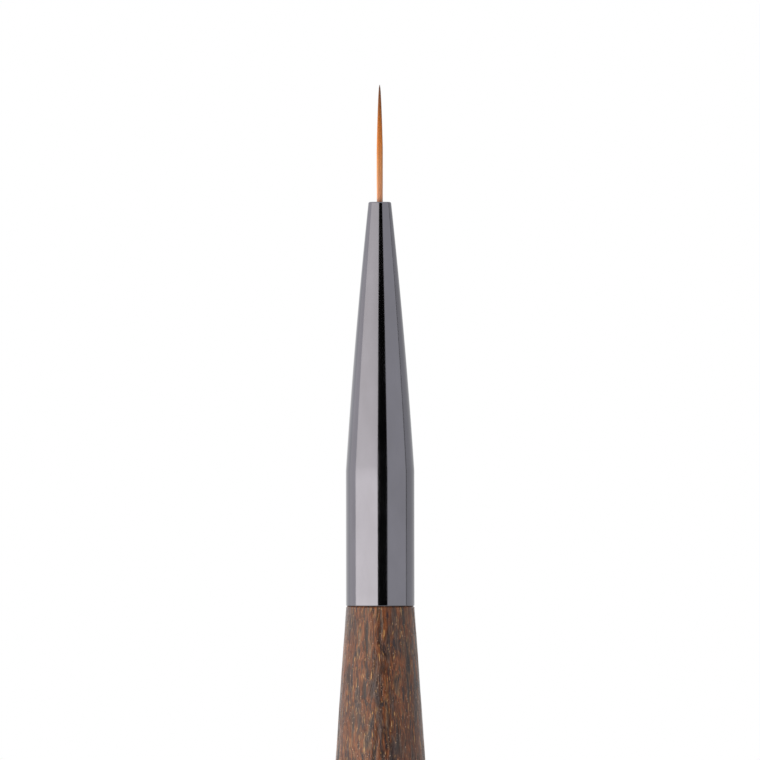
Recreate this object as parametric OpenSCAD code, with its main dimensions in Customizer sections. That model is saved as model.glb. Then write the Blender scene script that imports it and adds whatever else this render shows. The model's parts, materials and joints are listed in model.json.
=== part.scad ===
// Fine detail brush: a tuft of tapered filaments in a one-piece metal ferrule on a turned wooden handle.
// Millimetres. +Z runs along the brush's axis towards the hair. The origin is on the axis, in the plane
// where the handle's shoulder meets the lower rim of the ferrule.

/* [Tuft] */
// Length of the hair that stands out of the ferrule
hair_out = 10.6; // [8:0.1:14]
// Length of the hair's roots inside the ferrule
hair_in = 6; // [5:0.1:8]
// Diameter of the bundle where it leaves the ferrule
tuft_d = 0.54; // [0.4:0.01:0.8]
// Length over which the bundle narrows to its point
point_l = 5.9; // [4:0.1:7]

/* [Flexing links] */
// Height of the first bending point above the ferrule's mouth
first_bend = 0.3; // [0.25:0.05:0.6]
// Length of the last link, from its bending point to the tip of the hair
point_link_l = 5; // [4.5:0.05:6]
// Clearance between a link's ball and the dish that it turns in
knuckle_gap = 0.008; // [0.004:0.001:0.02]

/* [Binding thread] */
// Diameter of the thread that ties the roots together
thread_d = 0.16; // [0.1:0.01:0.2]
// Turns of thread round the roots
thread_turns = 5; // [3:1:6]
// Clearance between the binding's upper end and the bore, which narrows above it
thread_gap = 0.05; // [0.03:0.01:0.15]

/* [Ferrule] */
// Length of the ferrule
ferrule_l = 36.3; // [30:0.1:45]
// Outer diameter of the ferrule's straight skirt
ferrule_d = 6.16; // [5:0.01:8]
// Length of the straight skirt
skirt_l = 12.15; // [9:0.05:16]
// Outer diameter of the ferrule's mouth
mouth_d = 2.03; // [1.6:0.01:2.6]
// Wall of the skirt
skirt_wall = 0.35; // [0.28:0.01:0.45]
// Height by which the nose swells beyond a straight cone, halfway along it
nose_swell = 0.13; // [0:0.01:0.2]
// Length of the straight hole behind the mouth
land_l = 0.8; // [0.5:0.1:1.2]
// Rounding of the mouth's outer lip
lip_r = 0.15; // [0.05:0.01:0.25]
// Rounding of the lower rim's outer corner
rim_r = 0.1; // [0.04:0.01:0.14]
// Clearance round the tuft in the mouth, on the radius
mouth_gap = 0.01; // [0.005:0.005:0.03]

/* [Resin plug] */
// Depth of the resin below the ends of the roots
resin_below_roots = 2; // [1:0.1:5]

/* [Handle] */
// Length of the handle below the ferrule
handle_l = 130; // [100:1:160]
// Diameter of the handle at its widest
belly_d = 9.9; // [8.5:0.1:12]
// Distance from the ferrule down to the widest place
belly_drop = 38; // [28:1:46]
// Diameter of the handle just before its rounded tail
tail_d = 4.2; // [3:0.1:6]
// Flare of the neck: gain in radius for each millimetre down from the shoulder
neck_flare = 0.072; // [0.04:0.001:0.09]
// Taper of the tail: loss of radius for each millimetre, where the rounded end begins
tail_taper = 0.022; // [0:0.001:0.04]
// Chamfer on the handle's shoulder, under the ferrule's rim
shoulder_chamfer = 0.12; // [0.05:0.01:0.2]

/* [Tenon and glue] */
// Thickness of the glue film between the tenon and the skirt
glue_film = 0.06; // [0.04:0.01:0.1]
// Distance by which the tenon's straight part ends below the end of the skirt
tenon_short = 0.95; // [0.5:0.05:3]
// Length of the tenon's tapered nose beyond the straight part
tenon_nose_l = 6.5; // [4:0.1:9]
// Clearance round the tip of the tenon's nose
tenon_nose_gap = 0.5; // [0.3:0.05:0.8]
// Number of glue grooves turned in the tenon
groove_count = 3; // [0:1:4]
// Width of a glue groove
groove_w = 0.8; // [0.4:0.1:1.2]
// Depth of a glue groove
groove_depth = 0.25; // [0.1:0.05:0.4]

/* [Hidden] */
LINKS = ["tuft_heel", "tuft_lower_belly", "tuft_belly", "tuft_upper_belly", "tuft_point"];

$fn = 64;

// Steps that a curved outline is drawn with
nose_steps = 16;
belly_steps = 18;
tail_steps = 26;
round_steps = 6;
knuckle_steps = 5;
link_steps = 4;
point_steps = 14;
thread_sides = 6;
thread_rings_per_turn = 16;

ferrule_r = ferrule_d / 2;
mouth_r = mouth_d / 2;
tuft_r = tuft_d / 2;
hole_r = tuft_r + mouth_gap;
bore_r = ferrule_r - skirt_wall;
tenon_r = bore_r - glue_film;
tenon_l = skirt_l - tenon_short;
tenon_top_z = tenon_l + tenon_nose_l;
nose_l = ferrule_l - skirt_l;
// The bore narrows over this length, and then runs straight through the land to the mouth
bore_taper_l = nose_l - land_l;
thread_r = thread_d / 2;
tip_z = ferrule_l + hair_out;
root_z = ferrule_l - hair_in;

// A small gap at the resin and the thread, whose stepped outlines then share no volume with their neighbours
seat_gap = 0.005;
// The coil's centreline, widened so that its straight steps stay clear of the roots
coil_r = (tuft_r + seat_gap) / cos(180 / thread_rings_per_turn) + thread_r;
coil_pitch = thread_d * 1.06;
// The binding sits as high as the narrowing bore lets it, and the resin ends halfway up it
binding_top_z = nose_in_z(coil_r + thread_r + thread_gap);
binding_low_z = binding_top_z - coil_pitch * (thread_turns - 1) - thread_d;
resin_top_z = (binding_low_z + binding_top_z) / 2;
resin_low_z = root_z - resin_below_roots;
// A dish is cut back below its bending point by this share of the tuft's radius there, to let the ball turn
dish_drop = 0.5;

function mix(a, b, t) = a + (b - a) * t;
// Radius of the ferrule's nose, outside or inside, as a shallow ogive from radius a to radius b
function ogive(a, b, t) = mix(a, b, t) + 4 * nose_swell * t * (1 - t);
function nose_out_r(z) = ogive(ferrule_r, mouth_r, (z - skirt_l) / nose_l);
function nose_in_r(z) = ogive(bore_r, hole_r, (z - skirt_l) / bore_taper_l);
// Height at which the bore has narrowed to radius r: the ogive's quadratic, solved for t
function nose_in_z(r) =
    let (slope = hole_r - bore_r + 4 * nose_swell)
    skirt_l + bore_taper_l * 2 * (bore_r - r) / (sqrt(pow(slope, 2) + 16 * nose_swell * (bore_r - r)) - slope);
// Radius of the bundle at height z: straight, and then a parabola to its point
function tuft_r_at(z) = tuft_r * sqrt(max(0, min(1, (tip_z - z) / point_l)));
// A smooth run from radius a to radius b over length l, which starts at slope m and ends at slope n
function flowing_r(a, b, m, n, l, t) =
    a * (1 + 2 * t) * pow(1 - t, 2) + b * t * t * (3 - 2 * t)
    + l * m * t * pow(1 - t, 2) - l * n * t * t * (1 - t);
function arc(r, z, from, to, radius, steps) =
    [for (i = [0 : steps]) let (a = mix(from, to, i / steps)) [r + radius * cos(a), z + radius * sin(a)]];
// Height of the bending point of link n, counted from 0 at the heel
function bend_z(n) = ferrule_l + mix(first_bend, hair_out - point_link_l, n / (len(LINKS) - 1));
// Where a link's side ends, just under the bending point of link n
function dish_rim_z(n) = bend_z(n) - dish_drop * tuft_r_at(bend_z(n));

// The hollow that takes the ball of link n, as an outline from its rim in to the axis
function dish(n) =
    let (z = bend_z(n), radius = tuft_r_at(z) + knuckle_gap)
    arc(0, z, -asin((z - dish_rim_z(n)) / radius), -90, radius, knuckle_steps);

module turned(outline) {
    rotate_extrude() polygon(outline);
}

// ---- Handle: neck, belly, tail and the tenon that goes up into the ferrule ----

function neck_to_belly() =
    [for (i = [0 : belly_steps]) let (t = i / belly_steps)
        [flowing_r(ferrule_r, belly_d / 2, neck_flare, 0, belly_drop - shoulder_chamfer, t),
         -mix(shoulder_chamfer, belly_drop, t)]];
function belly_to_tail() =
    let (run = handle_l - tail_d / 2 - belly_drop)
    [for (i = [1 : tail_steps]) let (t = i / tail_steps)
        [flowing_r(belly_d / 2, tail_d / 2, 0, -tail_taper, run, t), -mix(belly_drop, belly_drop + run, t)]];
function tail_round() =
    [for (i = [1 : round_steps]) let (a = 90 * i / round_steps)
        [tail_d / 2 * cos(a), -handle_l + tail_d / 2 * (1 - sin(a))]];
function groove_z(n) = tenon_l * n / (groove_count + 1);

module handle() {
    color("saddlebrown")
    difference() {
        turned(concat(
            [[0, tenon_top_z], [nose_in_r(tenon_top_z) - tenon_nose_gap, tenon_top_z], [tenon_r, tenon_l],
             [tenon_r, 0], [ferrule_r - shoulder_chamfer, 0]],
            neck_to_belly(), belly_to_tail(), tail_round()));
        for (n = [1 : 1 : groove_count])
            translate([0, 0, groove_z(n) - groove_w / 2]) glue_ring(groove_depth, groove_w);
    }
}

// A ring of glue, or its groove, of a given depth into the tenon
module glue_ring(depth, height) {
    difference() {
        cylinder(r = bore_r, h = height);
        translate([0, 0, -1]) cylinder(r = tenon_r - depth, h = height + 2);
    }
}

module handle_glue() {
    color("wheat")
    union() {
        translate([0, 0, rim_r]) glue_ring(0, tenon_l - rim_r);
        for (n = [1 : 1 : groove_count])
            translate([0, 0, groove_z(n) - groove_w / 2]) glue_ring(groove_depth, groove_w);
    }
}

// ---- Ferrule: one swaged tube, whose wall thickens towards the mouth ----

module ferrule() {
    lip_z = ferrule_l - lip_r;
    outside = [for (i = [0 : nose_steps - 1]) let (z = mix(skirt_l, lip_z, i / nose_steps)) [nose_out_r(z), z]];
    inside = [for (i = [nose_steps : -1 : 0])
        let (z = skirt_l + bore_taper_l * i / nose_steps) [nose_in_r(z), z]];
    color("dimgray")
    turned(concat(
        [[bore_r, 0]],
        arc(ferrule_r - rim_r, rim_r, -90, 0, rim_r, round_steps),
        outside,
        arc(nose_out_r(lip_z) - lip_r, lip_z, 0, 90, lip_r, round_steps),
        [[hole_r, ferrule_l]],
        inside));
}

// ---- Resin plug: fills the nose behind the binding and grips the roots ----

module resin_plug() {
    wall = [for (i = [0 : nose_steps])
        let (z = mix(resin_low_z, resin_top_z, i / nose_steps)) [nose_in_r(z) - seat_gap, z]];
    color("khaki")
    difference() {
        turned(concat([[0, resin_low_z]], wall, [[0, resin_top_z]]));
        translate([0, 0, root_z]) cylinder(r = tuft_r, h = hair_in);
        translate([0, 0, binding_low_z - seat_gap]) cylinder(r = coil_r + thread_r + seat_gap, h = hair_in);
    }
}

// ---- Binding thread: a close coil round the roots, its ends cut off square ----

function coil_point(i, side) =
    let (turn = 360 * i / thread_rings_per_turn, a = 360 * side / thread_sides, r = coil_r + thread_r * cos(a))
    [r * cos(turn), r * sin(turn),
     binding_low_z + thread_r * (1 + sin(a)) + coil_pitch * i / thread_rings_per_turn];

module binding_thread() {
    rings = (thread_turns - 1) * thread_rings_per_turn;
    points = [for (i = [0 : rings], side = [0 : thread_sides - 1]) coil_point(i, side)];
    walls = [for (i = [0 : rings - 1], side = [0 : thread_sides - 1])
        let (a = i * thread_sides + side, b = i * thread_sides + (side + 1) % thread_sides)
        [a, b, b + thread_sides, a + thread_sides]];
    start = [for (side = [thread_sides - 1 : -1 : 0]) side];
    end = [for (side = [0 : thread_sides - 1]) rings * thread_sides + side];
    color("ivory")
    polyhedron(points, concat([start], walls, [end]));
}

// ---- Tuft: the roots, and the free hair as flexing links that turn on balls ----

module tuft_root() {
    color("peru")
    turned(concat([[0, root_z], [tuft_r, root_z], [tuft_r, dish_rim_z(0)]], dish(0)));
}

module tuft_link(n) {
    z = bend_z(n);
    ball = arc(0, z, -90, 0, tuft_r_at(z), knuckle_steps);
    last = n == len(LINKS) - 1;
    steps = last ? point_steps : link_steps;
    top = last ? tip_z : dish_rim_z(n + 1);
    side = [for (i = [1 : steps]) let (zi = mix(z, top, i / steps)) [tuft_r_at(zi), zi]];
    color("peru")
    turned(concat(ball, side, last ? [] : dish(n + 1)));
}

handle();
handle_glue();
ferrule();
resin_plug();
binding_thread();
tuft_root();
for (n = [0 : len(LINKS) - 1])
    tuft_link(n);
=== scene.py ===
# %% [markdown]
# # A fine detail brush
#
# The object is a liner brush for miniatures: a tuft of about forty tapered filaments, a seamless
# metal ferrule and a turned wooden handle. The construction model already holds every piece at its
# real size, so this lesson only makes the visible surfaces. Each one is built in metres, in the same
# frame: +Z runs along the brush towards the hair, and z = 0 is where the handle's shoulder meets the
# ferrule's lower rim.

# %% Load the construction model
import json
import math
import random

import bmesh
import bpy
from mathutils import Euler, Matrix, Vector, noise

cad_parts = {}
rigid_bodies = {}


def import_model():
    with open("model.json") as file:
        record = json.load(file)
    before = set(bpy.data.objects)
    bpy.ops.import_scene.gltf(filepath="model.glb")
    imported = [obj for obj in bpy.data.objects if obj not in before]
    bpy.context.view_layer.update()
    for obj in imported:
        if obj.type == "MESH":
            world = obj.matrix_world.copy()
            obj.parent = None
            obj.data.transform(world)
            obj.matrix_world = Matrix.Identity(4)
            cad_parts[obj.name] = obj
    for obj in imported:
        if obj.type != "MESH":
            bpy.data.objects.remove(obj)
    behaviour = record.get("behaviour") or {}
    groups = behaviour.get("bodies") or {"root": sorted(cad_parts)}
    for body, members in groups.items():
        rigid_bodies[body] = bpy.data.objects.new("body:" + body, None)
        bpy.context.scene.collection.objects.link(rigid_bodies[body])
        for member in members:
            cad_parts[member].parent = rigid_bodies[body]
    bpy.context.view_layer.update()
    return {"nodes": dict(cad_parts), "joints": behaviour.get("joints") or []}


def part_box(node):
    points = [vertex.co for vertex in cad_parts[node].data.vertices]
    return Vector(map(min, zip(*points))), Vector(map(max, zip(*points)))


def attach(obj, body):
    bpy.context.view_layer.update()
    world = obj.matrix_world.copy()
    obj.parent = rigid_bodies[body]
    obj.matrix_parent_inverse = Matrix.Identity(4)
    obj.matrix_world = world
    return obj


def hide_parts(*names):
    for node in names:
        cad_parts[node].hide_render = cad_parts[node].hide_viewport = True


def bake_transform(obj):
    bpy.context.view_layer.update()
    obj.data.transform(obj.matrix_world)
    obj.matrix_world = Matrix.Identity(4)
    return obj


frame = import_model()
MM = 0.001

# %% [markdown]
# ## Sizes taken from the frame
#
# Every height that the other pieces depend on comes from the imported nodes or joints, so the new
# surfaces land on the construction pieces without any fitting.

# %% Read the driving sizes
_, ferrule_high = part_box("ferrule")
tuft_low, tuft_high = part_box("tuft_root")
_, point_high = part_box("tuft_point")
handle_low, handle_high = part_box("handle")

ferrule_r = ferrule_high.x
mouth_z = ferrule_high.z
hair_r = tuft_high.x
hair_root_z = tuft_low.z
hair_tip_z = point_high.z
belly_r = handle_high.x
handle_tail_z = handle_low.z
bends = [(j["parent"], j["child"], j["pos_m"][2]) for j in frame["joints"]]
print("mouth at", round(mouth_z / MM, 2), "mm; bends at", [round(z / MM, 3) for _, _, z in bends])


# %% [markdown]
# ## Helpers for round pieces
#
# Everything on this brush is turned, drawn or swaged, so nearly every surface is an outline spun
# round one axis. `bmesh.ops.spin` does that the way a lathe does. The outline is written in
# millimetres as (radius, height).

# %% Turn an outline into a solid of revolution
def mix(a, b, t):
    """The value that lies at share t of the way from a to b."""
    return a + (b - a) * t


def arc(centre_r, centre_z, start, end, radius, steps):
    """Points along an arc, from one angle to another in degrees, measured up from the outward direction."""
    angles = [math.radians(mix(start, end, i / steps)) for i in range(steps + 1)]
    return [(centre_r + radius * math.cos(a), centre_z + radius * math.sin(a)) for a in angles]


def turned(name, outline, steps, closed=False):
    """Spins an outline round Z. A closed outline makes a tube; an open one starts and ends on the axis."""
    bm = bmesh.new()
    verts = [bm.verts.new((r * MM, 0, z * MM)) for r, z in outline]
    pairs = list(zip(verts, verts[1:])) + ([(verts[-1], verts[0])] if closed else [])
    edges = [bm.edges.new(pair) for pair in pairs]
    bmesh.ops.spin(bm, geom=verts + edges, cent=(0, 0, 0), axis=(0, 0, 1), dvec=(0, 0, 0),
                   angle=math.tau, steps=steps, use_merge=True, use_duplicate=False)
    bmesh.ops.remove_doubles(bm, verts=bm.verts, dist=1e-8)
    bmesh.ops.dissolve_degenerate(bm, edges=bm.edges, dist=1e-9)
    bmesh.ops.recalc_face_normals(bm, faces=bm.faces)
    return finished(name, bm)


def finished(name, bm, sharp_degrees=35):
    """Writes a bmesh to a smooth-shaded object at the origin, with creases kept sharp."""
    for face in bm.faces:
        face.smooth = True
    for edge in bm.edges:
        if len(edge.link_faces) == 2 and edge.calc_face_angle() > math.radians(sharp_degrees):
            edge.smooth = False
    mesh = bpy.data.meshes.new(name)
    bm.to_mesh(mesh)
    bm.free()
    piece = bpy.data.objects.new(name, mesh)
    bpy.context.scene.collection.objects.link(piece)
    print(name, len(mesh.polygons), "faces")
    return piece


# %% [markdown]
# ## Helpers for materials
#
# Colours are written as the sRGB values that a colour picker shows, and one function turns them to
# the linear values that the shader works in. One more function adds any shader node with its settings
# and links.

# %% Colour and node helpers
def colour(hex_code):
    """An sRGB hex colour as linear RGBA."""
    channels = [int(hex_code[i:i + 2], 16) / 255 for i in (1, 3, 5)]
    return (*(c / 12.92 if c <= 0.04045 else ((c + 0.055) / 1.055) ** 2.4 for c in channels), 1.0)


def new_material(name):
    """An empty material with its Principled shader and tree."""
    material = bpy.data.materials.new(name)
    material.use_nodes = True
    tree = material.node_tree
    print("finish:", name)
    return material, tree, tree.nodes["Principled BSDF"]


def add(tree, kind, inputs=None, **settings):
    """Adds a shader node. Each input is given a value, or a socket to link from."""
    made = tree.nodes.new(kind)
    for key, value in settings.items():
        setattr(made, key, value)
    for key, value in (inputs or {}).items():
        if isinstance(value, bpy.types.NodeSocket):
            tree.links.new(value, made.inputs[key])
        else:
            made.inputs[key].default_value = value
    return made


def set_finish(shader, **values):
    """Sets constants on the shader's own sockets: metallic=1 becomes the Metallic input."""
    for key, value in values.items():
        shader.inputs[key.replace("_", " ").title().replace("Ior", "IOR")].default_value = value


# %% [markdown]
# ## The ferrule
#
# The real ferrule is one brass tube without a seam. A die swages it from a straight skirt, which
# grips the handle, to a nose that narrows in a shallow ogive to the hair. The walls could be two
# separate surfaces, but one closed outline of the whole wall is simpler: rim, skirt, ogive, rolled
# lip, land and bore in a single loop. A mirror finish shows every facet, so the ogive has many rings
# and the spin has many steps.

# %% Ferrule outline, mm
SKIRT_L = 12.15
SKIRT_WALL = 0.35
MOUTH_R = 1.015
NOSE_SWELL = 0.13
LAND_L = 0.8
LIP_R = 0.15
RIM_R = 0.1
MOUTH_GAP = 0.01
MIRROR_STEPS = 192


def ogive(a, b, t):
    """A straight taper with a slight swell in the middle."""
    return mix(a, b, t) + 4 * NOSE_SWELL * t * (1 - t)


def ferrule_outline():
    """The whole wall as one loop: rim, skirt, nose, rolled lip, hole and then the bore on the way back."""
    outer, top = ferrule_r / MM, mouth_z / MM
    bore, hole = outer - SKIRT_WALL, hair_r / MM + MOUTH_GAP
    nose_l = top - SKIRT_L
    lip_t = 1 - LIP_R / nose_l
    rings = 60
    rim = arc(outer - RIM_R, RIM_R, -90, 0, RIM_R, 8)
    skirt = [(outer, mix(RIM_R, SKIRT_L, i / 12)) for i in range(1, 12)]
    nose = [(ogive(outer, MOUTH_R, lip_t * i / rings), SKIRT_L + nose_l * lip_t * i / rings)
            for i in range(rings)]
    lip = arc(ogive(outer, MOUTH_R, lip_t) - LIP_R, top - LIP_R, 0, 90, LIP_R, 10)
    inside = [(ogive(bore, hole, i / 24), SKIRT_L + (nose_l - LAND_L) * i / 24) for i in range(24, -1, -1)]
    return [(bore, 0)] + rim + skirt + nose + lip + [(hole, top)] + inside


ferrule = turned("ferrule_tube", ferrule_outline(), MIRROR_STEPS, closed=True)

# %% [markdown]
# ### Black nickel on brass
#
# Black nickel plating over polished brass, often called gunmetal: a true metal, cooler and darker
# than chrome, with a mirror that is just soft enough to blur the edges of a reflection. Handling
# leaves faint smears, and the polishing mop leaves rings round the tube, far too fine to see one by
# one. They are drawn about 0.15 mm apart so that they show as a slight break-up of the highlights.

# %% Gunmetal finish
def gunmetal():
    """Black nickel: its tint and gloss drift slightly in smears, over very faint polishing rings."""
    material, tree, shader = new_material("black_nickel_on_polished_brass")
    place = add(tree, "ShaderNodeTexCoord").outputs["Object"]
    rings = add(tree, "ShaderNodeMapping", {"Vector": place, "Scale": (180, 180, 6500)}).outputs["Vector"]
    ring_noise = add(tree, "ShaderNodeTexNoise", {"Vector": rings, "Scale": 1.0, "Detail": 2.0})
    smear_place = add(tree, "ShaderNodeMapping", {"Vector": place, "Scale": (420, 420, 160)}).outputs["Vector"]
    smears = add(tree, "ShaderNodeTexNoise", {"Vector": smear_place, "Scale": 1.0, "Detail": 4.0,
                                             "Roughness": 0.6})
    tint = add(tree, "ShaderNodeValToRGB", {"Fac": smears.outputs["Fac"]})
    tint.color_ramp.elements[0].position, tint.color_ramp.elements[0].color = 0.3, colour("#74737A")
    tint.color_ramp.elements[1].position, tint.color_ramp.elements[1].color = 0.7, colour("#7B7A82")
    tree.links.new(tint.outputs["Color"], shader.inputs["Base Color"])
    gloss = add(tree, "ShaderNodeMapRange", {"Value": smears.outputs["Fac"], "From Min": 0.35, "From Max": 0.7,
                                            "To Min": 0.07, "To Max": 0.13})
    tree.links.new(gloss.outputs["Result"], shader.inputs["Roughness"])
    bump = add(tree, "ShaderNodeBump", {"Height": ring_noise.outputs["Fac"], "Strength": 0.04,
                                       "Distance": 0.02 * MM})
    tree.links.new(bump.outputs["Normal"], shader.inputs["Normal"])
    set_finish(shader, metallic=1.0)
    return material


ferrule.data.materials.append(gunmetal())
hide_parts("ferrule")
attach(ferrule, "root")

# %% [markdown]
# ## The handle
#
# The handle is turned from a dark, open-pored hardwood. A tenon with glue grooves goes up inside the
# ferrule. Below the rim the handle starts with a small chamfer, swells to a belly that fills the
# fingers, and runs in one long taper to a rounded tail. The outline is two smooth runs whose slopes
# match at the belly. Open pores are real dents, so the surface is a fine mesh whose points are moved
# inwards by a stretched noise, and not only a bump in the material.

# %% Handle outline, mm
BELLY_DROP = 38.0
TAIL_R = 2.1
NECK_FLARE = 0.072
TAIL_TAPER = 0.022
SHOULDER_CHAMFER = 0.12
GLUE_FILM = 0.06
TENON_SHORT = 0.95
TENON_NOSE_L = 6.5
TENON_NOSE_GAP = 0.5
GROOVE_COUNT = 3
GROOVE_W = 0.8
GROOVE_DEPTH = 0.25
HANDLE_STEPS = 176
NECK_RING = 0.12
TAIL_RING = 0.42


def flowing(a, b, slope_a, slope_b, length, t):
    """A smooth run from radius a to radius b over a length, with a slope at each end."""
    return (a * (1 + 2 * t) * (1 - t) ** 2 + b * t * t * (3 - 2 * t)
            + length * slope_a * t * (1 - t) ** 2 - length * slope_b * t * t * (1 - t))


def handle_radius(drop):
    """The handle's radius at a distance below the shoulder, down to where the rounded tail begins."""
    neck_l = BELLY_DROP - SHOULDER_CHAMFER
    if drop < BELLY_DROP:
        return flowing(ferrule_r / MM, belly_r / MM, NECK_FLARE, 0, neck_l, (drop - SHOULDER_CHAMFER) / neck_l)
    run = -handle_tail_z / MM - TAIL_R - BELLY_DROP
    return flowing(belly_r / MM, TAIL_R, 0, -TAIL_TAPER, run, (drop - BELLY_DROP) / run)


def tenon_outline():
    """The tenon inside the ferrule, from the tip of its nose down to the shoulder, with glue grooves."""
    bore, hole = ferrule_r / MM - SKIRT_WALL, hair_r / MM + MOUTH_GAP
    tenon_r = bore - GLUE_FILM
    tenon_l = SKIRT_L - TENON_SHORT
    top = tenon_l + TENON_NOSE_L
    tip_r = ogive(bore, hole, (top - SKIRT_L) / (mouth_z / MM - SKIRT_L - LAND_L)) - TENON_NOSE_GAP
    outline = [(0, top), (tip_r, top), (tenon_r, tenon_l)]
    for n in range(GROOVE_COUNT, 0, -1):
        middle = tenon_l * n / (GROOVE_COUNT + 1)
        above, below = middle + GROOVE_W / 2, middle - GROOVE_W / 2
        outline += [(tenon_r, above), (tenon_r - GROOVE_DEPTH, above), (tenon_r - GROOVE_DEPTH, below),
                    (tenon_r, below)]
    return outline + [(tenon_r, 0), (ferrule_r / MM - SHOULDER_CHAMFER, 0)]


def handle_outline():
    """Tenon, neck, belly, tail and rounded end, with rings close together at the neck and wider below."""
    tail_drop = -handle_tail_z / MM - TAIL_R
    outline = tenon_outline()
    drop = SHOULDER_CHAMFER
    while drop < tail_drop:
        outline.append((handle_radius(drop), -drop))
        drop += mix(NECK_RING, TAIL_RING, min(1, max(0, drop - 16) / 40))
    return outline + arc(0, -tail_drop, 0, -90, TAIL_R, 10)


handle = turned("turned_handle", handle_outline(), HANDLE_STEPS)

# %% [markdown]
# ### Open pores as real relief
#
# The vessels of the wood run along the handle, so the noise that digs them is stretched about twelve
# times in Z. Every point moves straight inwards by up to 0.07 mm, and none moves outwards, so the
# handle never grows past its turned size. The depth is kept in an attribute, which the wood's finish
# reads to paint the bottoms of the pores darker, a painted shade that deepens with the pore.

# %% Dig the pores
PORE_DEPTH = 0.05
PORE_WIDTH = 0.42
PORE_LENGTH = 4.6
GRAIN_DEPTH = 0.018


def pore_share(point):
    """How deep a pore is at a point on the handle, from 0 to 1."""
    x, y, z = (c / MM for c in point)
    lean = Vector((x / PORE_WIDTH + 0.05 * z, y / PORE_WIDTH, z / PORE_LENGTH))
    vessel = noise.noise(lean) + 0.35 * noise.noise(lean * 2.1)
    return min(1.0, max(0.0, (vessel - 0.12) / 0.35))


def grain_share(point):
    """How far the softer grain has sunk at a point on the handle, from 0 to 1."""
    x, y, z = (c / MM for c in point)
    return 0.5 + 0.5 * noise.noise(Vector((x / 0.9, y / 0.9, z / 7.0 + 40)))


def dig_pores(piece):
    """Moves points below the shoulder straight inwards, and keeps each one's pore share as an attribute."""
    depths = []
    for vert in piece.data.vertices:
        reach = math.hypot(vert.co.x, vert.co.y)
        showing = vert.co.z < -1.01 * SHOULDER_CHAMFER * MM and reach > 1e-6
        pore = pore_share(vert.co) if showing else 0.0
        if showing:
            dig = (PORE_DEPTH * pore + GRAIN_DEPTH * grain_share(vert.co)) * MM
            shrink = 1 - dig / reach if reach > dig else 1
            vert.co.x *= shrink
            vert.co.y *= shrink
        depths.append(pore)
    piece.data.attributes.new("pore", "FLOAT", "POINT").data.foreach_set("value", depths)
    print("pores cover", round(100 * sum(d > 0.3 for d in depths) / len(depths)), "% of the handle")


dig_pores(handle)

# %% [markdown]
# ### Dark open-pored hardwood under satin lacquer
#
# A wood such as fumed oak or wenge: warm reddish fibres between grey-brown bands, nearly black vessel
# lines with a cool cast, and short golden flecks where the cut crosses the rays. A thin satin lacquer
# lies over it, which follows the relief and blurs reflections. All patterns are solid noises in
# Object coordinates, stretched along Z, as the grain runs through a real turned stick. Bands are
# about 0.6 mm wide, vessels 0.2 mm, flecks 0.12 mm and fibres 0.1 mm. Specks of 0.1 mm are small
# bumps in the lacquer, and the same specks are painted pale as painted glints where the bumps would
# catch the softbox. The bottoms of the open pores are painted darker as painted shade.

# %% Wood finish
def stretched_noise(tree, place, width, length, detail, seed):
    """Noise whose blobs are about width across the grain and length along it, in mm."""
    spot = add(tree, "ShaderNodeMapping", {"Vector": place, "Location": (seed, 2.7 * seed, 5.1 * seed),
                                          "Scale": (1 / width / MM, 1 / width / MM, 1 / length / MM)})
    return add(tree, "ShaderNodeTexNoise", {"Vector": spot.outputs["Vector"], "Scale": 1.0, "Detail": detail,
                                           "Roughness": 0.55}).outputs["Fac"]


def ramp(tree, value, *stops):
    """A colour ramp through (position, hex colour) stops."""
    made = add(tree, "ShaderNodeValToRGB", {"Fac": value})
    elements = made.color_ramp.elements
    while len(elements) < len(stops):
        elements.new(0.5)
    for element, (position, code) in zip(elements, stops):
        element.position, element.color = position, colour(code)
    return made.outputs["Color"]


def mask(tree, value, low, high):
    """0 below low, 1 above high, smooth between."""
    return add(tree, "ShaderNodeMapRange", {"Value": value, "From Min": low, "From Max": high},
               interpolation_type="SMOOTHSTEP").outputs["Result"]


def overlay(tree, share, below, above, blend_type="MIX"):
    """Two colours mixed by a share."""
    made = add(tree, "ShaderNodeMix", {0: share, 6: below, 7: above}, data_type="RGBA", blend_type=blend_type)
    return made.outputs[2]


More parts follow.
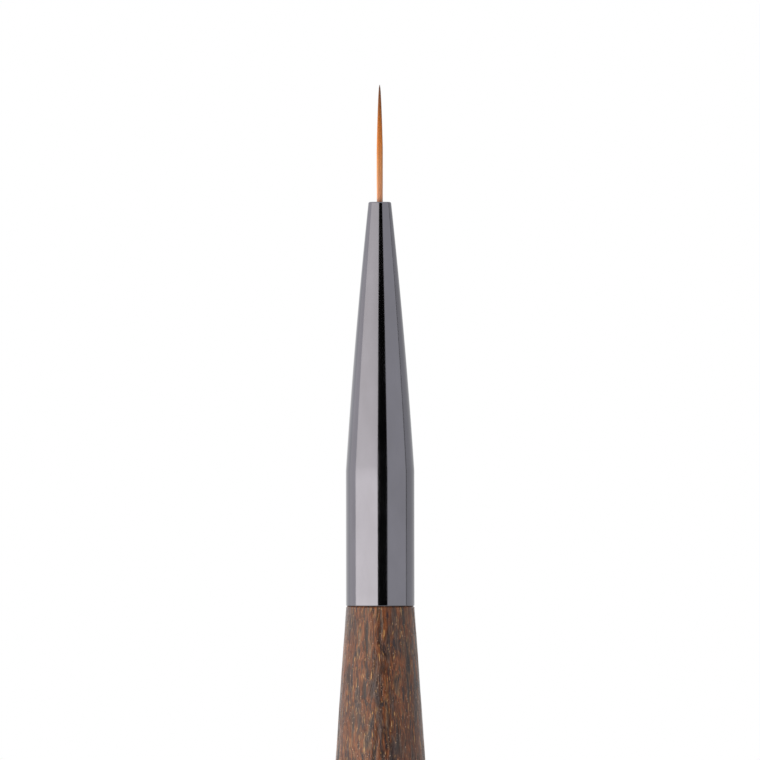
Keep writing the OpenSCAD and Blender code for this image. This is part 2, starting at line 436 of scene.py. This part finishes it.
def dark_wood():
    """Hardwood in layers: bands, fibres, dark vessels, golden flecks, painted shade in the open pores and
    painted glints on the lacquer specks.
    """
    material, tree, shader = new_material("dark_open_pored_hardwood_satin_lacquer")
    place = add(tree, "ShaderNodeTexCoord").outputs["Object"]
    sway = add(tree, "ShaderNodeTexNoise", {"Vector": place, "Scale": 420.0, "Detail": 2.0}).outputs["Color"]
    centred = add(tree, "ShaderNodeVectorMath", {0: sway, 1: (0.5, 0.5, 0.5)}, operation="SUBTRACT").outputs[0]
    wavy = add(tree, "ShaderNodeVectorMath", {0: centred, 1: (0.55 * MM, 0.55 * MM, 0), 2: place},
               operation="MULTIPLY_ADD").outputs[0]
    bands = stretched_noise(tree, wavy, 0.6, 4.5, 4.0, 1.3)
    vessels = stretched_noise(tree, wavy, 0.2, 2.6, 2.0, 4.1)
    flecks = stretched_noise(tree, wavy, 0.12, 1.1, 2.0, 7.7)
    fibres = stretched_noise(tree, wavy, 0.1, 1.2, 3.0, 2.9)
    specks = stretched_noise(tree, place, 0.1, 0.2, 1.0, 9.3)
    body = ramp(tree, bands, (0.30, "#4E3E42"), (0.40, "#6E5A54"), (0.47, "#7C4E34"), (0.55, "#9A5E38"),
                (0.61, "#8A6C52"), (0.70, "#54484C"))
    fibre_tone = ramp(tree, fibres, (0.30, "#4C3E3C"), (0.5, "#BCA898"), (0.66, "#FFF8EC"))
    body = overlay(tree, 0.95, body, fibre_tone, "MULTIPLY")
    body = overlay(tree, mask(tree, vessels, 0.58, 0.67), body, colour("#2C2024"))
    body = overlay(tree, mask(tree, flecks, 0.61, 0.73), body, colour("#C0915A"))
    pore = add(tree, "ShaderNodeAttribute", attribute_name="pore").outputs["Fac"]
    # painted shade: the bottoms of the pores are painted darker, the deeper the pore
    body = overlay(tree, mask(tree, pore, 0.3, 1.2), body, colour("#2C2220"))
    # painted glints: pale specks painted where small lacquer bumps would catch the softbox
    body = overlay(tree, mask(tree, specks, 0.70, 0.80), body, colour("#D8B69C"))
    tree.links.new(body, shader.inputs["Base Color"])
    dents = add(tree, "ShaderNodeMath", {0: fibres, 1: specks}, operation="ADD").outputs[0]
    bump = add(tree, "ShaderNodeBump", {"Height": dents, "Strength": 0.8, "Distance": 0.035 * MM})
    tree.links.new(bump.outputs["Normal"], shader.inputs["Normal"])
    tree.links.new(bump.outputs["Normal"], shader.inputs["Coat Normal"])
    set_finish(shader, roughness=0.6, specular_ior_level=0.06, coat_weight=0.75, coat_roughness=0.16)
    return material


handle.data.materials.append(dark_wood())
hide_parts("handle")
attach(handle, "root")

# %% [markdown]
# ## The tuft
#
# The hair is about 37 drawn synthetic filaments, each 0.076 mm thick and ground to a taper. They lie
# packed in rings of 1, 6, 12 and 18, bound at the root, and close to one point at the tip. Hair
# particles would not follow the joints, so every filament is a slim closed mesh. The bundle bends at
# five places, and a piece can blend across only one of them, so all filaments are cut midway between
# two bends into one set for each bend.

# %% Where each filament lies
RING_COUNTS = (1, 6, 12, 18)
RING_RADII = (0.0, 2.0, 3.93, 5.93)
BUNDLE_RADII = 7.0
POINT_L = 5.9
BELLY_SWELL = 0.05
SIDES = 7
random.seed(11)


def bundle_scale(z):
    """The bundle's thickness at a height: a faint belly above the mouth, and then a parabola to the point."""
    free = min(1.0, max(0.0, (z - mouth_z) / (2.5 * MM)))
    belly = 1 + BELLY_SWELL * free * free * (3 - 2 * free)
    return belly * math.sqrt(max(0.0, min(1.0, (hair_tip_z - z) / (POINT_L * MM))))


def strand_list():
    """Each filament's place in the bundle, in filament radii, how short of the tip it ends, and its tone."""
    strands = []
    for count, reach in zip(RING_COUNTS, RING_RADII):
        turn = random.uniform(0, math.tau)
        for i in range(count):
            angle = turn + math.tau * i / count
            short = random.uniform(0.3, 1.0) * 0.05 * reach
            strands.append((reach * math.cos(angle), reach * math.sin(angle), short * MM,
                            random.uniform(0, 1), random.uniform(0, math.tau)))
    return strands


strands = strand_list()
filament_r = hair_r / BUNDLE_RADII
print(len(strands), "filaments,", round(2 * filament_r / MM, 4), "mm thick")


# %% [markdown]
# ### One set of filament lengths
#
# A filament is a ring of points extruded upwards, ring by ring, and each new ring is scaled and moved
# to its place. An extrusion leaves the face that it started from, which is kept at the lower end as
# the cap and deleted inside the filament, so that every length is a closed solid. Two attributes go
# with it for the finish: how far along the hair a point is, and the filament's own tone.

# %% Build the filaments between two heights
def filament_place(strand, z):
    """The centre and radius of one filament at a height."""
    x, y, short, tone, phase = strand
    own_tip = hair_tip_z - short
    scale = bundle_scale(z)
    left = max(0.0, own_tip - z)
    thin = min(1.0, left / (0.5 * MM)) ** 0.5
    wander = 0.12 * math.sin(phase + 900 * z) * filament_r * scale
    centre = Vector(((x * filament_r + wander * 0.6) * scale, (y * filament_r + wander) * scale, z))
    return centre, max(filament_r * scale * thin, 0.0012 * MM)


def filament_heights(low, high):
    """Rings close together at the tip, where the taper is quick, and wide apart below."""
    heights, z = [low], low
    while high - z > 1e-9:
        step = mix(0.045, 0.26, min(1.0, (hair_tip_z - z) / (4 * MM))) * MM
        z = high if high - z < 1.4 * step else z + step
        heights.append(z)
    return heights


def filament_set(name, low, high):
    """All filaments between two heights, each a closed solid that starts as one capped ring."""
    bm = bmesh.new()
    along = bm.verts.layers.float.new("hair_along")
    tone = bm.verts.layers.float.new("hair_tone")
    for strand in strands:
        ring = bmesh.ops.create_circle(bm, cap_ends=True, segments=SIDES, radius=1.0)["verts"]
        cap = ring[0].link_faces[0]
        centre, radius = Vector((0, 0, 0)), 1.0
        for i, z in enumerate(filament_heights(low, min(high, hair_tip_z - strand[2]))):
            if i:
                made = bmesh.ops.extrude_face_region(bm, geom=[cap])["geom"]
                if i > 1:
                    bmesh.ops.delete(bm, geom=[cap], context="FACES_ONLY")
                cap = next(part for part in made if isinstance(part, bmesh.types.BMFace))
            new_centre, new_radius = filament_place(strand, z)
            for vert in cap.verts:
                vert.co = new_centre + (vert.co - centre) * (new_radius / radius)
                vert[along] = (z - mouth_z) / (hair_tip_z - mouth_z)
                vert[tone] = strand[3]
            centre, radius = new_centre, new_radius
    bmesh.ops.recalc_face_normals(bm, faces=bm.faces)
    return finished(name, bm, sharp_degrees=60)


# %% [markdown]
# ### Synthetic filament
#
# Drawn nylon-like filament, dyed a golden orange to look like sable. It is glossy, and so thin that
# light spreads all through the bundle; the colours below are painted paler to stand for that light,
# so they are dyed colour and painted light together. They are paler and pinker near the ferrule,
# golden along the middle, and the ground tips are dark, and right at the mouth they are painted darker
# as painted shade where the ferrule shades the roots. The colour follows the hair itself, so it reads
# the attributes made above and stays in place when the hair bends. Each filament has its own slight tone.

# %% Filament finish
def dyed_filament():
    """Dyed drawn filament: its colour changes along the hair, with painted shade at the mouth and painted light
    through the bundle, and fine grinding breaks its gloss.
    """
    material, tree, shader = new_material("dyed_tapered_synthetic_filament")
    along = add(tree, "ShaderNodeAttribute", attribute_name="hair_along").outputs["Fac"]
    tone = add(tree, "ShaderNodeAttribute", attribute_name="hair_tone").outputs["Fac"]
    # painted light: the first stop is painted shade at the mouth, and the pale stops stand for light spreading
    # through the bundle
    dye_and_painted_light = ramp(tree, along, (0.0, "#D09E82"), (0.04, "#EEAE86"), (0.27, "#EAA76E"), (0.52, "#E48C38"),
               (0.69, "#CA7824"), (0.85, "#A0622E"), (1.0, "#74503C"))
    strand_tone = ramp(tree, tone, (0.0, "#DCD4CC"), (0.5, "#F4EEE8"), (1.0, "#FFFFFF"))
    dye_and_painted_light = overlay(tree, 1.0, dye_and_painted_light, strand_tone, "MULTIPLY")
    tree.links.new(dye_and_painted_light, shader.inputs["Base Color"])
    place = add(tree, "ShaderNodeTexCoord").outputs["Object"]
    ground = add(tree, "ShaderNodeTexNoise", {"Vector": place, "Scale": 9000.0, "Detail": 2.0}).outputs["Fac"]
    gloss = add(tree, "ShaderNodeMapRange", {"Value": ground, "To Min": 0.32, "To Max": 0.48})
    tree.links.new(gloss.outputs["Result"], shader.inputs["Roughness"])
    set_finish(shader, ior=1.53, specular_ior_level=0.4)
    return material


# %% [markdown]
# ### Cut, build and blend the sets
#
# The roots reach 6 mm down into the ferrule, through the binding and
# the resin.
# the resin.

# %% Build the tuft
filament_finish = dyed_filament()
cuts = [(a[2] + b[2]) / 2 for a, b in zip(bends, bends[1:])]
set_names = ("hair_at_mouth", "hair_lower", "hair_middle", "hair_upper", "hair_point")
set_nodes = (("tuft_root", "tuft_heel"), ("tuft_lower_belly",), ("tuft_belly",), ("tuft_upper_belly",),
             ("tuft_point",))
lows = [hair_root_z] + cuts
highs = cuts + [hair_tip_z]
for i, (parent, child, bend_z) in enumerate(bends):
    hair = filament_set(set_names[i], lows[i], highs[i])
    hair.data.materials.append(filament_finish)
    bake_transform(hair)
    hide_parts(*set_nodes[i])

# %% [markdown]
# ## The hidden pieces
#
# The adhesive, the resin plug and the binding thread are already right in shape, so the construction
# nodes stay and only get their finishes: a yellowish cured epoxy in the tail of the ferrule, a clear
# amber resin in the nose and a waxed off-white thread with its twist.

# %% Adhesive, resin and thread
def cured_resin(name, code, clear, cloud_mm):
    """A cast resin: clear or milky, with slow clouds of colour and a faintly uneven cured skin."""
    material, tree, shader = new_material(name)
    place = add(tree, "ShaderNodeTexCoord").outputs["Object"]
    clouds = add(tree, "ShaderNodeTexNoise", {"Vector": place, "Scale": 1 / cloud_mm / MM, "Detail": 3.0})
    pale = overlay(tree, clouds.outputs["Fac"], colour(code), colour("#F2E2B8"))
    tree.links.new(pale, shader.inputs["Base Color"])
    bump = add(tree, "ShaderNodeBump", {"Height": clouds.outputs["Fac"], "Strength": 0.3,
                                       "Distance": 0.02 * MM})
    tree.links.new(bump.outputs["Normal"], shader.inputs["Normal"])
    set_finish(shader, roughness=0.25, ior=1.55, transmission_weight=clear)
    return material


def waxed_thread():
    """Off-white thread whose twist shows as slanting plies under a skin of wax."""
    material, tree, shader = new_material("waxed_polyester_thread")
    place = add(tree, "ShaderNodeTexCoord").outputs["Object"]
    plies = add(tree, "ShaderNodeTexWave", {"Vector": place, "Scale": 1 / 0.3 / MM, "Distortion": 1.5},
                bands_direction="DIAGONAL")
    tint = ramp(tree, plies.outputs["Fac"], (0.0, "#CFC6B2"), (1.0, "#EFE9DA"))
    tree.links.new(tint, shader.inputs["Base Color"])
    bump = add(tree, "ShaderNodeBump", {"Height": plies.outputs["Fac"], "Strength": 0.6,
                                       "Distance": 0.02 * MM})
    tree.links.new(bump.outputs["Normal"], shader.inputs["Normal"])
    set_finish(shader, roughness=0.6, sheen_weight=0.3)
    return material


hidden_finishes = {"handle_glue": cured_resin("cured_epoxy_adhesive", "#D9BC7A", 0.2, 1.5),
                   "resin_plug": cured_resin("clear_amber_ferrule_resin", "#C98F3F", 0.7, 0.8),
                   "binding_thread": waxed_thread()}
for node_name, finish in hidden_finishes.items():
    node = frame["nodes"][node_name]
    node.data.materials.clear()
    node.data.materials.append(finish)

# %% [markdown]
# ## The studio
#
# The brush stands upright in a white surround, and a mirror-finished tube shows that surround more
# than itself. Upright panels shape the reflections: a large softbox on the left with its spill on the
# wall behind it, the dark gap that the camera stands in, and on the right a slim grey flag before a
# shaded wall. They are hidden from the camera and don't belong to the object.

# %% Helpers for the studio
def panel(name, azimuth_from, azimuth_to, distance, low, high):
    """An upright flat panel that faces the brush, between two azimuths in degrees, 0 towards the camera."""
    middle = math.radians((azimuth_from + azimuth_to) / 2)
    half = distance * math.tan(math.radians(azimuth_to - azimuth_from) / 2)
    bm = bmesh.new()
    bmesh.ops.create_grid(bm, x_segments=1, y_segments=12, size=1.0)
    bmesh.ops.scale(bm, verts=bm.verts, vec=(half, (high - low) / 2, 1))
    turn = Euler((math.radians(90), 0, middle)).to_matrix()
    bmesh.ops.rotate(bm, verts=bm.verts, cent=(0, 0, 0), matrix=turn)
    bmesh.ops.translate(bm, verts=bm.verts, vec=(distance * math.sin(middle), -distance * math.cos(middle),
                                                 (low + high) / 2))
    made = finished(name, bm)
    made.visible_camera = False
    return made


def plain(name, code, roughness=0.9):
    """A matt stage material of one colour, such as card or a painted floor."""
    material, tree, shader = new_material(name)
    shader.inputs["Base Color"].default_value = colour(code)
    set_finish(shader, roughness=roughness, specular_ior_level=0.2)
    return material


# %% [markdown]
# ### Softbox
#
# The light in a softbox is seldom even: this one is brighter low down, where its lamp sits, so the
# ferrule's highlight fades upwards. Strengths are written as multiples of the white surround, and
# each panel gives a little less of its light to matt surfaces, so that wood and hair keep about the
# colours that they are given.

# %% Softbox, dark gap and flag
SOFTBOX_LOW, SOFTBOX_HIGH = 2.9, 1.8
DIFFUSE_SHARE = 0.8
SPILL = 1.25
SHADED = 0.72
PANEL_LOW, PANEL_HIGH = -0.5, 0.6
CARD_LOW, CARD_HIGH = -0.8, 0.9


def glowing(name, colour_value, low, high, low_power, high_power):
    """A lit surface of the studio: one power low down and another high up, between two heights."""
    material = bpy.data.materials.new(name)
    material.use_nodes = True
    tree = material.node_tree
    tree.nodes.clear()
    place = add(tree, "ShaderNodeTexCoord").outputs["Object"]
    height = add(tree, "ShaderNodeSeparateXYZ", {"Vector": place}).outputs["Z"]
    power = add(tree, "ShaderNodeMapRange", {"Value": height, "From Min": low, "From Max": high,
                                            "To Min": low_power, "To Max": high_power}).outputs["Result"]
    diffuse = add(tree, "ShaderNodeLightPath").outputs["Is Diffuse Ray"]
    share = add(tree, "ShaderNodeMapRange", {"Value": diffuse, "To Min": 1.0, "To Max": DIFFUSE_SHARE})
    power = add(tree, "ShaderNodeMath", {0: power, 1: share.outputs["Result"]}, operation="MULTIPLY").outputs[0]
    glow = add(tree, "ShaderNodeEmission", {"Color": colour_value, "Strength": power})
    add(tree, "ShaderNodeOutputMaterial", {"Surface": glow.outputs["Emission"]})
    return material


softbox = panel("softbox", -91, -8.3, 0.45, PANEL_LOW, PANEL_HIGH)
softbox.data.materials.append(glowing("softbox_cloth", (1.0, 0.96, 0.9, 1.0), -0.02, 0.13,
                                      SOFTBOX_LOW, SOFTBOX_HIGH))
spill = panel("softbox_spill", -122, -92, 0.55, PANEL_LOW, PANEL_HIGH)
spill.data.materials.append(glowing("spill_on_white_wall", (1.0, 0.97, 0.96, 1.0), -0.1, 0.1,
                                    SPILL, SPILL))
dark_gap = panel("dark_gap", -8.3, 24.5, 0.7, CARD_LOW, CARD_HIGH)
dark_gap.data.materials.append(plain("black_card", "#0A0A0A"))
flag = panel("slim_flag", 97, 102, 0.8, CARD_LOW, CARD_HIGH)
flag.data.materials.append(plain("grey_card", "#C4C4C4"))
shade = panel("shaded_wall", 102.5, 165, 0.8, CARD_LOW, CARD_HIGH)
shade.data.materials.append(glowing("shaded_white_wall", (1.0, 1.0, 1.0, 1.0), -0.1, 0.1,
                                    SHADED, SHADED))

# %% [markdown]
# ### Floor and surround
#
# The world is white for the camera and for reflections, and dimmer for diffuse light, so that
# together with the softbox a colour renders about as it is written. The floor is a pale disc just
# under the tail of the handle.

# %% Floor and world
WORLD_DIFFUSE = 0.52
bm = bmesh.new()
bmesh.ops.create_circle(bm, cap_ends=True, segments=64, radius=0.6)
bmesh.ops.translate(bm, verts=bm.verts, vec=(0, 0, handle_tail_z - 0.0002))
floor = finished("floor", bm)
floor.data.materials.append(plain("pale_floor", "#E9E9E7"))

world = bpy.data.worlds.new("white_surround")
bpy.context.scene.world = world
world.use_nodes = True
sky = world.node_tree
sky.nodes.clear()
path = add(sky, "ShaderNodeLightPath")
seen = add(sky, "ShaderNodeMath", {0: path.outputs["Is Camera Ray"], 1: path.outputs["Is Glossy Ray"]},
           operation="MAXIMUM").outputs[0]
seen = add(sky, "ShaderNodeMath", {0: seen, 1: path.outputs["Is Transmission Ray"]},
           operation="MAXIMUM").outputs[0]
strength = add(sky, "ShaderNodeMapRange", {"Value": seen, "To Min": WORLD_DIFFUSE, "To Max": 1.0})
surround = add(sky, "ShaderNodeBackground", {"Color": (1, 1, 1, 1), "Strength": strength.outputs["Result"]})
add(sky, "ShaderNodeOutputWorld", {"Surface": surround.outputs["Background"]})

# %% [markdown]
# ### Camera
#
# A long lens, level with the upper part of the brush, and so far away that the ferrule's rim looks
# straight. The frame takes in the hair, the ferrule and the neck of the handle; the rest of the
# handle runs out of it.

# %% Camera
FRAME_HEIGHT = 68.25 * MM
CAMERA_DISTANCE = 1.52
CAMERA_Z = 20.3 * MM
SENSOR = 36.0
# The brush leans a hair's breadth in the camera's frame, in degrees
LEAN = 0.07
camera = bpy.data.objects.new("camera", bpy.data.cameras.new("camera"))
camera.data.sensor_width = SENSOR
camera.data.lens = SENSOR * CAMERA_DISTANCE / FRAME_HEIGHT
camera.data.clip_end = 10.0
camera.location = (0, -CAMERA_DISTANCE, CAMERA_Z)
camera.rotation_euler = (math.radians(90), math.radians(LEAN), 0)
bpy.context.scene.collection.objects.link(camera)
bpy.context.scene.camera = camera
bpy.context.scene.view_settings.view_transform = "Standard"
print("lens", round(camera.data.lens, 1), "mm")
